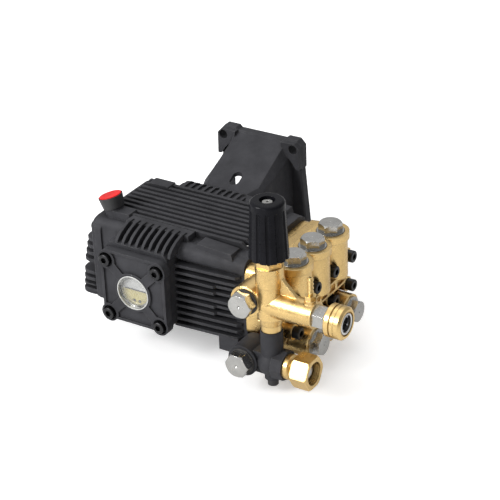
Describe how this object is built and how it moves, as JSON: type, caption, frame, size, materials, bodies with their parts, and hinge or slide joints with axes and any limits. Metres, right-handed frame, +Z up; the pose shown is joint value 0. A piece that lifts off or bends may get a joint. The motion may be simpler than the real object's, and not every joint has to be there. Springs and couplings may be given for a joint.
{
  "type": "pressure washer pump",
  "caption": "Triplex plunger pump with finned crankcase, bell flange for an engine, brass head, pressure unloader, hose inlet and quick coupler outlet.",
  "frame": {"origin": "centre of the engine flange's face, on the crankshaft axis and in the middle of the four engine bolts", "axes": "+X along the plungers towards the brass head, +Y along the crankshaft out of the flange towards the engine, +Z up"},
  "size_m": [0.3523, 0.2828, 0.22],
  "materials": {
    "cast_black": "satin black paint on cast aluminium",
    "brass_cast": "sand cast, lightly blasted",
    "brass_machined": "turned",
    "zinc_steel": "zinc plated",
    "black_oxide": "black oxide",
    "gloss_black": "gloss",
    "red_plastic": "satin",
    "black_plastic": "satin",
    "window": "clear",
    "steel_ground": "ground",
    "bearing_steel": "ground",
    "rod_alloy": "die cast",
    "stainless": "turned",
    "ceramic": "polished ceramic",
    "seal_rubber": "matt",
    "bonded_seal": "matt",
    "spring_steel": "drawn",
    "cage_plastic": "moulded",
    "ring_metal": "turned"
  },
  "bodies": {
    "pump_frame": {"crankcase": "cast_black", "rear_cover": "cast_black", "rear_cover_screws": "black_oxide", "engine_flange": "cast_black", "flange_bolts": "black_oxide", "side_cover": "cast_black", "side_cover_screws": "black_oxide", "sight_glass": "window", "sight_glass_ring": "ring_metal", "oil_drain_plug": "zinc_steel", "bearing_cover_side": "bearing_steel", "bearing_engine_side": "bearing_steel", "shaft_oil_seal": "seal_rubber", "plunger_seals": "seal_rubber", "packing_retainers": "brass_machined", "pump_head": "brass_cast", "head_bolts": "black_oxide", "valve_seats": "stainless", "valve_cages": "cage_plastic", "discharge_caps": "zinc_steel", "suction_caps": "zinc_steel", "unloader_body": "brass_cast", "unloader_collar": "brass_machined", "bypass_tube": "brass_machined", "banjo_bolts": "zinc_steel", "banjo_washers": "bonded_seal", "inlet_body": "cast_black", "inlet_tail": "brass_machined", "thermal_relief_valve": "black_plastic", "chemical_injector": "brass_machined", "outlet_nipple": "zinc_steel", "coupler_body": "brass_machined"},
    "crank": {"crankshaft": "steel_ground"},
    "oil_cap": {"oil_fill_cap": "black_plastic", "oil_cap_disc": "red_plastic"},
    "knob": {"unloader_knob": "gloss_black", "unloader_screw": "zinc_steel"},
    "spring_plate": {"unloader_spring_plate": "stainless"},
    "unloader_valve": {"unloader_piston": "stainless", "unloader_spring": "spring_steel"},
    "hose_nut": {"inlet_swivel_nut": "brass_machined"},
    "coupler_lock": {"coupler_sleeve": "brass_machined"},
    "rod_1": {"con_rod_1": "rod_alloy", "wrist_pin_1": "steel_ground"},
    "piston_1": {"plunger_guide_1": "stainless", "plunger_1": "ceramic"},
    "rod_2": {"con_rod_2": "rod_alloy", "wrist_pin_2": "steel_ground"},
    "piston_2": {"plunger_guide_2": "stainless", "plunger_2": "ceramic"},
    "rod_3": {"con_rod_3": "rod_alloy", "wrist_pin_3": "steel_ground"},
    "piston_3": {"plunger_guide_3": "stainless", "plunger_3": "ceramic"},
    "suction_valve_1": {"suction_poppet_1": "stainless"},
    "discharge_valve_1": {"discharge_poppet_1": "stainless"},
    "suction_valve_2": {"suction_poppet_2": "stainless"},
    "discharge_valve_2": {"discharge_poppet_2": "stainless"},
    "suction_valve_3": {"suction_poppet_3": "stainless"},
    "discharge_valve_3": {"discharge_poppet_3": "stainless"}
  },
  "joints": [
    {"name": "crank_turn", "type": "hinge", "parent": "pump_frame", "child": "crank", "pos_m": [0, -0.1763, 0], "axis": [0, 1, 0], "continuous": true},
    {"name": "rod_1_swing", "type": "hinge", "parent": "crank", "child": "rod_1", "pos_m": [0, -0.21355, 0.0035], "axis": [0, 1, 0], "continuous": true},
    {"name": "plunger_1_stroke", "type": "slide", "parent": "pump_frame", "child": "piston_1", "axis": [1, 0, 0], "range_m": [-0.0035, 0.0035]},
    {"name": "rod_2_swing", "type": "hinge", "parent": "crank", "child": "rod_2", "pos_m": [-0.00303, -0.1763, -0.00175], "axis": [0, 1, 0], "continuous": true},
    {"name": "plunger_2_stroke", "type": "slide", "parent": "pump_frame", "child": "piston_2", "axis": [1, 0, 0], "range_m": [-0.00047, 0.00653]},
    {"name": "rod_3_swing", "type": "hinge", "parent": "crank", "child": "rod_3", "pos_m": [0.00303, -0.13905, -0.00175], "axis": [0, 1, 0], "continuous": true},
    {"name": "plunger_3_stroke", "type": "slide", "parent": "pump_frame", "child": "piston_3", "axis": [1, 0, 0], "range_m": [-0.00653, 0.00047]},
    {"name": "suction_valve_1_lift", "type": "slide", "parent": "pump_frame", "child": "suction_valve_1", "axis": [1, 0, 0], "range_m": [0, 0.002]},
    {"name": "discharge_valve_1_lift", "type": "slide", "parent": "pump_frame", "child": "discharge_valve_1", "axis": [0, 0, 1], "range_m": [0, 0.002]},
    {"name": "suction_valve_2_lift", "type": "slide", "parent": "pump_frame", "child": "suction_valve_2", "axis": [1, 0, 0], "range_m": [0, 0.002]},
    {"name": "discharge_valve_2_lift", "type": "slide", "parent": "pump_frame", "child": "discharge_valve_2", "axis": [0, 0, 1], "range_m": [0, 0.002]},
    {"name": "suction_valve_3_lift", "type": "slide", "parent": "pump_frame", "child": "suction_valve_3", "axis": [1, 0, 0], "range_m": [0, 0.002]},
    {"name": "discharge_valve_3_lift", "type": "slide", "parent": "pump_frame", "child": "discharge_valve_3", "axis": [0, 0, 1], "range_m": [0, 0.002]},
    {"name": "knob_turn", "type": "hinge", "parent": "pump_frame", "child": "knob", "pos_m": [0.1617, -0.258, 0.11], "axis": [0, 0, 1], "range_deg": [-720, 720]},
    {"name": "spring_plate_travel", "type": "slide", "parent": "pump_frame", "child": "spring_plate", "axis": [0, 0, 1], "range_m": [-0.0032, 0.0032]},
    {"name": "unloader_valve_lift", "type": "slide", "parent": "pump_frame", "child": "unloader_valve", "axis": [0, 0, 1], "range_m": [0, 0.0025], "deforming": ["unloader_spring"]},
    {"name": "hose_nut_spin", "type": "hinge", "parent": "pump_frame", "child": "hose_nut", "pos_m": [0.2007, -0.258, -0.0415], "axis": [1, 0, 0], "continuous": true},
    {"name": "coupler_pull_back", "type": "slide", "parent": "pump_frame", "child": "coupler_lock", "axis": [-1, 0, 0], "range_m": [0, 0.0045]},
    {"name": "oil_cap_lift", "type": "slide", "parent": "pump_frame", "child": "oil_cap", "axis": [-0.2924, 0, 0.9563], "range_m": [0, 0.07]}
  ],
  "couplings": [
    {"joint": "rod_1_swing", "follows": "crank_turn", "ratio": -1},
    {"joint": "rod_2_swing", "follows": "crank_turn", "ratio": -1},
    {"joint": "rod_3_swing", "follows": "crank_turn", "ratio": -1},
    {"joint": "spring_plate_travel", "follows": "knob_turn", "m_per_rad": 0.00023873}
  ]
}
